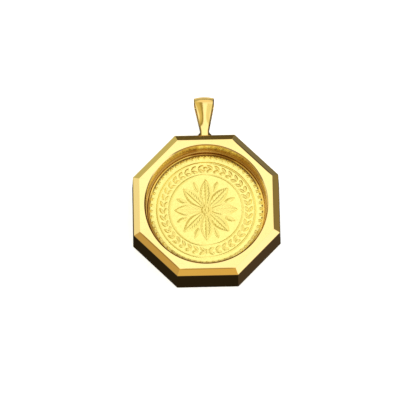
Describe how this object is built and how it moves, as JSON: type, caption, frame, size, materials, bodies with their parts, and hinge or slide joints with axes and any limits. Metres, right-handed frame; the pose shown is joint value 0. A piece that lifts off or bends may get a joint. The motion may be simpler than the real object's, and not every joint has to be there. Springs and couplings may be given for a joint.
{
  "type": "coin pendant",
  "caption": "Thick octagonal gold bezel pendant with bevelled front edges, a deep round recess that holds a small gold coin, and a tapered bail on top.",
  "frame": {"origin": "on the resting plane, below the middle of the pendant's whole length and width", "axes": "+Z is the way the coin faces, away from the surface that the pendant lies on; +Y runs from the frame's foot to the bail; +X is to the right, seen from the front"},
  "size_m": [0.0204, 0.0262, 0.0064],
  "materials": {
    "polished_gold": "mirror-polished yellow gold",
    "coin_gold": "bright struck yellow gold"
  },
  "bodies": {
    "root": {"frame": "polished_gold", "coin": "coin_gold", "retaining_ring": "polished_gold"}
  },
  "joints": []
}
